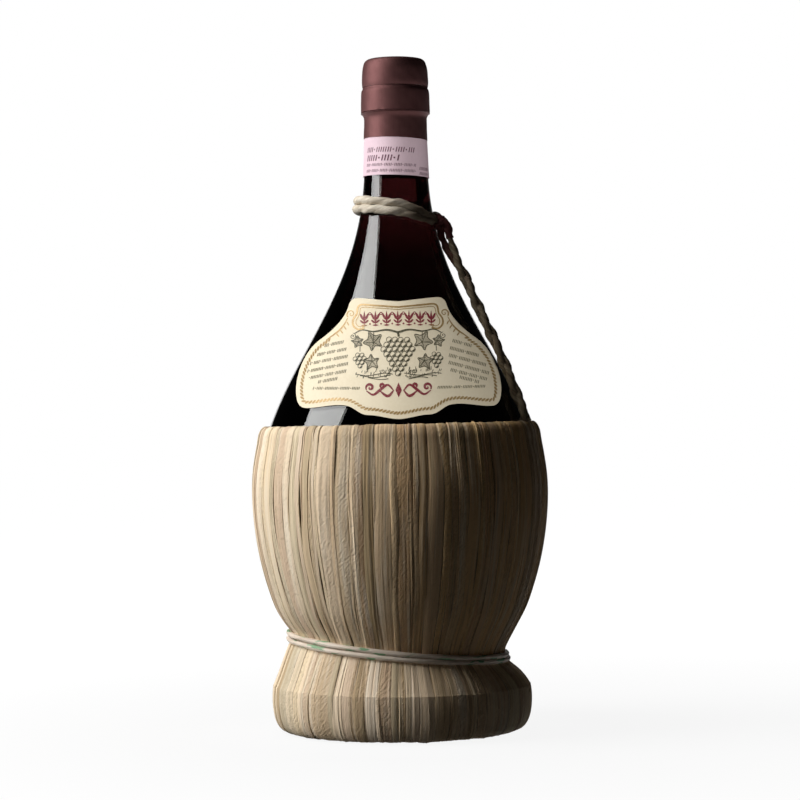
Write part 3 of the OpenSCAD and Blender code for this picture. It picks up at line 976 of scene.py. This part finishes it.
def hatched_row(x0, x1, z0, fall, tall, rng):
    """Equal strokes that lean to the right, in groups with a dot between them. The row falls outwards."""
    step, lean = 0.72, 0.42
    way = 1 if x1 > x0 else -1
    shapes = []
    far = 0.0
    while far < abs(x1 - x0):
        for _ in range(rng.randint(4, 9)):
            if far > abs(x1 - x0):
                break
            x, z = x0 + way * far, z0 - fall * far
            stroke = [(x - lean / 2, z - tall / 2), (x + lean / 2, z + tall / 2)]
            shapes.append(ribbon(stroke, 0.34, step=1.0))
            far += step
        if far < abs(x1 - x0):
            shapes.append(lozenge(x0 + way * (far + 0.15), z, 0.55, 0.55))
        far += 1.0
    return shapes


def print_small_rows():
    rng = random.Random(17)
    shapes = []
    for x0, x1, z in SMALL_ROWS:
        shapes += hatched_row(-x0, -x1, z, 0.16, 1.45, rng)
        shapes += hatched_row(x0, x1, z, 0.26, 1.45, rng)
    for sign in (-1, 1):
        shapes += hatched_row(sign * 17.4, sign * 38.6, 156.6, -0.02, 1.2, rng)
    printed("print_small_rows", shapes, FADED_INK_M)


make_label()
print_border()
print_scrolls()
print_title()
print_vignette()
print_foot()
print_small_rows()


# Straw cover

STRAW_WIDTHS = (0.3, 0.45, 0.8, 1.2, 1.6, 2.1, 2.6)
STRAW_T, STRAW_R = 0.40, 60
WAIST_REACH, RIM_LEAN = 9.5, 0.6


def between_heights(line, low, high):
    return line[(line[:, 1] > low) & (line[:, 1] < high)]


def cover_line():
    """The straw's outer face on the belly, from under the waist's cord up and over the rolled rim."""
    low = [(WAIST_R - 0.2, WAIST_Z - 1.2), (WAIST_R, WAIST_Z + 1.5), (50.0, WAIST_Z + 4.6), (52.2, 46.6)]
    belly = between_heights(grown(GLASS, COVER_T), 54, 131)[::4]
    rim = [(65.2, 132.8), (64.7, 136.2), (63.7, 138.8), (62.4, 140.3), (61.1, 140.7), (60.3, 140.0),
           (60.3, 138.2)]
    line = through(np.vstack([low, belly, rim]), 4)
    rim_start = int(np.argmax(line[:, 1] > 134))
    return np.vstack([spaced(line[: rim_start + 1], 2.4), spaced(line[rim_start:], 0.9)[1:]])


def skirt_line():
    """The straw's outer face from under the floor's edge of the base up to the waist's cord."""
    foot = [(34, 1.0), (42, 0.7), (49, 0.55), (53.4, 0.75), (56.4, 2.7), (58.3, 6.4), (59.2, 11.0),
            (59.45, 16.0), (59.15, 20.4), (59.0, 21.3)]
    slope = [(58.55, 22.0), (57.0, 25.0), (54.6, 29.0), (51.6, 33.4), (49.4, 36.4), (WAIST_R - 0.1, WAIST_Z)]
    return np.vstack([spaced(through(foot, 5), 1.9), spaced(through(slope, 5), 1.6)])


def waist_move(a):
    """How far the waist stands out and up at an angle."""
    return -WAIST_OUT * cos(a), WAIST_SAG * cos(a) ** 2 - WAIST_TILT * cos(a)


def tilted(r, z, a):
    """The waist is higher and wider on the side away from the handle. The rim leans the other way."""
    share = exp(-(((z - WAIST_Z) / WAIST_REACH) ** 2))
    out, up = waist_move(a)
    rim = max(0.0, (z - 120) / 20)
    return r + out * share, z + up * share + RIM_LEAN * cos(a) * rim


def brown_and_shade_at(a):
    """How brown and shaded the straw is at an angle: pale on the left, browner and darker from the front's
    middle to the right, partly the straw's own brown and partly painted shade.
    """
    d = degrees(a) % 360
    if d < 180:
        return max(0.0, 1 - d / 50)
    return 0.5 * min(1.0, max(0.0, (d - 222) / 34)) + 0.5 * min(1.0, max(0.0, (d - 256) / 30))


def strips(name, line, count, seed, sway, crease, brown_and_shade):
    """A ring of straw strips along a line, at random widths. Each is a closed flat ribbon with lengthwise
    folds, whose points go round it: across its outer face, then back by two points of its inner face."""
    rng = random.Random(seed)
    widths = [rng.choice(STRAW_WIDTHS) * rng.uniform(0.85, 1.15) for _ in range(count)]
    normals = grown(line, 1.0) - line
    far = distances(line)
    verts, faces, grain, tones = [], [], [], []
    angle = rng.uniform(0, TAU)
    for s in range(count):
        share = TAU * widths[s] / sum(widths)
        middle, half = angle + share / 2, share / 2 * rng.uniform(1.06, 1.20)
        angle += share
        tone = rng.random()
        # Painted shade, partly the straw's own brown: strips towards the shaded side get a browner, darker
        # colour.
        strip_brown_and_shade = brown_and_shade_at(middle)
        brown_and_shade_share = brown_and_shade * strip_brown_and_shade * rng.uniform(0.7, 1.1)
        across = 11 if widths[s] > 0.8 else 6
        folds = [rng.choice((0.15, 0.3, 1.0)) * rng.uniform(-1, 1) * crease for _ in range(across)]
        folds[0] = -rng.choice((0.04, 0.07, 0.12, 0.30)) * rng.uniform(0.8, 1.2) * (0.55 + 0.65 * strip_brown_and_shade)
        folds[-1] = rng.uniform(0.0, 0.12)
        lean = [rng.uniform(-1, 1) for _ in range(4)]
        arch = rng.choice((0.06, 0.12, 0.20, 0.34)) * min(1.0, widths[s] / 1.2) * (0.6 + 0.7 * strip_brown_and_shade)
        faces += tube_faces(len(line), across + 2, len(verts))
        for f, point, normal in zip(far, line, normals):
            side = sway * (lean[0] * sin(f * 0.055 + 6 * lean[1])
                           + 0.5 * lean[2] * sin(f * 0.13 + 6 * lean[3])) / STRAW_R
            lift = 0.20 * sin(f * 0.09 + 9 * lean[1]) * lean[3]
            narrow = 1 + 0.12 * sin(f * 0.07 + 5 * lean[2]) * lean[0]
            for n, j in enumerate([*range(across), across - 1, 0]):
                t = 2 * j / (across - 1) - 1
                a = middle + half * narrow * t + side
                fold = folds[j] * (1 + 0.45 * sin(f * 0.11 + 3 * j + 7 * lean[2]))
                outer = arch * (0.7 - t * t) + fold - 0.16
                inner = fold * 0.5 - 0.20 - STRAW_T
                r, z = tilted(*(point + normal * (lift + (outer if n < across else inner))), a)
                verts.append(turned(r, a, z))
                grain.append((t * share * STRAW_R / 2, f, s * 1.7 + seed))
                tones.append((tone, t, brown_and_shade_share))
    return mesh_object(name, verts, faces, STRAW_M, grain=grain, tone=tones, sharp_deg=24)


def make_cover():
    cover = strips("straw_belly", cover_line(), 124, seed=3, sway=0.6, crease=0.17, brown_and_shade=1.0)
    place(cover, "straw", "straw_front", "straw_right", "straw_back", "straw_left")
    place(strips("straw_skirt", skirt_line(), 108, seed=4, sway=0.5, crease=0.15, brown_and_shade=0.25), "straw")


def make_underlay():
    """The dark inner layer, ribbed like straws side by side and seen only in the gaps, and the rim's hoop."""
    outer = between_heights(grown(GLASS, 1.7), 54, 134)[::3]

    def ribs(a, r, z):
        return (0.18 * sin(110 * a) if r > glass_r(z) + 1.3 else 0), 0

    place(lathe("straw_inner_layer", shell(outer, 1.1), INNER_STRAW_M, around=660, wobble=ribs, closed=True),
          "inner_straw", "straw_underlay")
    hoop = ellipse(61.55, 136.75, 0.72, 0.72, n=12)
    place(lathe("straw_hoop", hoop, INNER_STRAW_M, closed=True, sharp_deg=180), "inner_straw", "rim_hoop")


def make_base_ring():
    """The doughnut that the flask stands on: a thick roll of straw bound with a spiral strip."""
    outer = [(28.6, 0.35), (38, 0.05), (48.6, 0.1), (52.0, 2.6), (55.6, 7.4), (56.6, 14.0), (55.4, 19.4),
             (52.4, 24.2), (48.4, 27.3), (44.2, 28.8), (40.2, 29.3)]
    dish = between_heights(grown(GLASS, 0.35), 17.6, 26)[::-2]
    middle_r, middle_z = 43, 13

    def bound(a, r, z):
        turn = atan2(z - middle_z, r - middle_r)
        rib = 0.35 * (0.5 + 0.5 * sin(34 * a + turn))
        return -rib if r > 40 else rib, rib if z < 3 else 0

    place(lathe("straw_ring", np.vstack([through(outer, 4), dish]), INNER_STRAW_M, around=408, wobble=bound,
                closed=True), "inner_straw", "base_ring")


make_cover()
make_underlay()
make_base_ring()


# Cords round the neck and the waist, and their knots

# Two turns: share of a turn from the handle, height, and how far the twine stands off the glass
NECK_TURNS = [(-0.02, 234.4, 0), (0.10, 236.2, 0), (0.31, 240.8, 0), (0.56, 243.3, 0), (0.80, 241.0, 0),
              (0.885, 238.0, 0.2), (0.95, 235.2, 0.5), (1.02, 233.4, 0.5), (1.12, 234.0, 0), (1.31, 236.8, 0),
              (1.56, 239.5, 0), (1.80, 237.2, 0), (1.885, 234.8, 0), (1.97, 232.6, 0)]
# How far the cords lie off what they are wound on
NECK_CORD_CLEAR, WAIST_CORD_CLEAR = 0.05, 0.15


def make_neck_cord():
    points = []
    for t, z, off in through(NECK_TURNS, 24):
        r = glass_r(z) + NECK_CORD_D / 2 + NECK_CORD_CLEAR + max(off, 0)
        points.append(turned(r, HANDLE_AZ + TAU * t, z))

    def taper(far, whole):
        end = min(far, abs(far - whole / 2), whole - far)
        return 1.0 - 0.28 * exp(-((end / 9) ** 2)) + 0.05 * sin(far * 0.19)

    part = sweep(points, NECK_CORD_D / 2, sides=20, twist=0.34, lobes=((2, 0.10), (3, 0.05), (5, 0.03)),
                 rough=0.03, seed=21, taper=taper)
    # Painted shade: the twine darkens towards the handle, on the shaded side.
    toward_shaded_side = [cos(atan2(v[1], v[0]) - HANDLE_AZ) for v in part[0]]
    tones = [(min(0.85, max(0.0, (c - 0.25) / 0.6)), 0, 0) for c in toward_shaded_side]
    place(cord_object("neck_twine", [part], TWINE_M, tone=tones), "twine", "neck_cord")


def make_handle_knot():
    """A half hitch: a strand that arches over, one that lies under it, and a wrap round both."""
    over = [(17.6, 233.8), (19.6, 234.3), (22.2, 233.6), (24.2, 231.4), (25.3, 228.4), (26.1, 225.0)]
    under = [(18.4, 231.6), (20.2, 231.2), (21.6, 229.6), (22.4, 226.8)]
    parts = []
    for route, radius, seed, thin_ends in ((over, 2.0, 41, 0.15), (under, 1.6, 42, 0.3)):
        points = [in_handle_plane(*p) for p in spaced(through(route, 8), 0.45)]

        def taper(far, whole):
            return 1 - thin_ends * abs(2 * far / whole - 1) ** 3

        parts.append(sweep(points, radius, sides=20, up=in_handle_plane(0, 0, 1), twist=0.5,
                           lobes=((2, 0.13), (3, 0.08)), rough=0.05, seed=seed, taper=taper))
    middle, along = np.array([21.9, 231.4]), np.array([0.66, -0.75])
    across = np.array([-along[1], along[0]])
    wrap = []
    for t in np.linspace(0, 1, 60):
        turn = TAU * 1.3 * t - 0.6
        out, up = middle + along * (2.0 * t - 1.6) + across * 2.7 * cos(turn)
        wrap.append(in_handle_plane(out, up, 2.3 * sin(turn)))
    parts.append(sweep(wrap, 1.05, sides=12, up=in_handle_plane(*along), twist=0.6, lobes=((2, 0.14),),
                       rough=0.05, seed=43))
    place(cord_object("twine_knot", parts, KNOT_M), "knot_twine", "handle_knot")


def waist_turn(t):
    """A point of the waist's cord after t turns. Both ends are drawn into the knot at the back."""
    a = pi / 2 + TAU * t
    apart = 2.35 - 0.35 * cos(a)
    out, up = waist_move(a)
    to_end = min(t, 2 - t) * TAU * WAIST_R
    tied = exp(-((to_end / 6.5) ** 2))
    z = WAIST_Z - 0.2 + up + apart * (1 - t) * (1 - 0.7 * tied)
    off = WAIST_CORD_D / 2 + WAIST_CORD_CLEAR + 0.5 * (1 + cos(a)) * (t - 1) / 2 + 1.7 * tied
    return turned(WAIST_R + out + off, a, z)


def make_waist_cord():
    points = [waist_turn(t) for t in np.linspace(0.006, 1.994, 520)]

    def taper(far, whole):
        return 1.0 + 0.05 * sin(far * 0.06) + 0.03 * sin(far * 0.21)

    part = sweep(points, WAIST_CORD_D / 2, sides=16, twist=0.10, lobes=((2, 0.06),), rough=0.02, seed=51,
                 taper=taper)
    place(cord_object("waist_rush", [part], WAIST_CORD_M), "waist_cord", "waist_cord")


def make_waist_knot():
    """An overhand knot at the back: both ends cross in front of the cord, with a wrap round the crossing."""
    middle = np.array([0, WAIST_R + WAIST_CORD_D / 2 + WAIST_CORD_CLEAR, WAIST_Z - 0.2])
    first = [(-3.4, 1.7, 0.9), (-1.7, 2.3, 0.5), (0.3, 2.8, -0.9), (1.6, 2.0, -2.4), (2.1, 0.9, -3.7)]
    second = [(3.4, 1.7, -0.9), (1.7, 2.4, -0.4), (-0.3, 3.5, 0.9), (-1.6, 2.3, 2.5), (-2.4, 1.0, 3.9)]
    wrap = [(0.5 * sin(t), 1.9 + 2.5 * cos(t), 2.3 * sin(t)) for t in np.linspace(-1.9, 1.9, 13)]
    parts = []
    for k, (route, radius) in enumerate(((first, 1.1), (second, 1.1), (wrap, 1.0))):
        points = spaced(through([middle + p for p in route], 6), 0.4)
        parts.append(sweep(points, radius, sides=14, up=(0.3, 0.9, 0.1), twist=0.2, lobes=((2, 0.08),),
                           rough=0.03, seed=61 + k))
    place(cord_object("rush_knot", parts, WAIST_CORD_M), "waist_cord", "waist_knot")


make_neck_cord()
make_handle_knot()
make_waist_cord()
make_waist_knot()


# Floor, light and background, in metres

def floor_material():
    """A white floor that keeps the shadow: dark paint, with the background's white added where it is seen, a
    little dimmer near the object as painted shade round its foot.
    """
    s = Shader("floor_paint", Base_Color=(0.06, 0.06, 0.06), Roughness=0.9, Specular_IOR_Level=0.0)
    far = s.add("ShaderNodeVectorMath", {0: s.coords()}, operation="LENGTH").outputs["Value"]
    # Painted shade: the floor's white glow is 0.9 near the object and 1 from half a metre out.
    glow_with_painted_shade = s.between(far, 0.10, 0.55, 0.90, 1.0)
    s.set(Emission_Color=(1, 1, 1), Emission_Strength=s.times(glow_with_painted_shade, s.background_rays()[1]))
    return s.material


def make_floor():
    bpy.ops.mesh.primitive_plane_add(size=12, location=(0, 0, 0))
    floor = bpy.context.object
    floor.name = "floor"
    floor.data.materials.append(floor_material())


def softbox(name, azimuth, elevation, distance, width, height, power):
    """A rectangular lamp turned to a point in the middle of the object."""
    data = bpy.data.lights.new(name, "AREA")
    data.shape = "RECTANGLE"
    data.size, data.size_y = width, height
    data.energy = power
    lamp = bpy.data.objects.new(name, data)
    e = radians(elevation)
    offset = Vector(turned(cos(e), radians(azimuth), sin(e)))
    lamp.location = Vector((0, 0, 0.15)) + distance * offset
    lamp.rotation_euler = offset.to_track_quat("Z", "Y").to_euler()
    bpy.context.scene.collection.objects.link(lamp)
    return lamp


def make_lamps():
    softbox("key", azimuth=191, elevation=32, distance=1.0, width=0.60, height=1.3, power=17.4)
    # A weak lamp behind the object shows its back and lights nothing that the camera sees.
    fill = softbox("back_fill", azimuth=98, elevation=25, distance=1.0, width=0.9, height=0.9, power=3.0)
    fill.visible_glossy = fill.visible_transmission = False
    # A small lamp picks out the papers alone, so that they stay legible on the shaded side.
    papers = bpy.data.collections.new("papers")
    for obj in bpy.context.scene.objects:
        if obj.name.startswith(("paper_", "print_", "seal_")):
            papers.objects.link(obj)
    spot = softbox("paper_lamp", azimuth=296, elevation=2, distance=0.9, width=0.25, height=0.25, power=3.4)
    spot.visible_glossy = False
    spot.light_linking.receiver_collection = papers


def make_world():
    """A dark studio with a white background behind the object. The camera sees white on every side."""
    world = bpy.data.worlds.new("world")
    bpy.context.scene.world = world
    world.use_nodes = True
    studio = 0.0078
    n = Nodes(world.node_tree)
    camera_ray, seen = n.background_rays()
    window = n.between(n.split(n.coords("Generated"))[1], 0.945, 0.955, 0.004, 1.0)
    lit = n.add("ShaderNodeMix", {"Factor": seen, "A": studio, "B": window}).outputs["Result"]
    n.fill(n.nodes["Background"], {"Color": n.mix((1, 0.84, 0.68), (1, 1, 1), seen),
                                   "Strength": n.math("MAXIMUM", camera_ray, lit)})


make_floor()
make_lamps()
make_world()
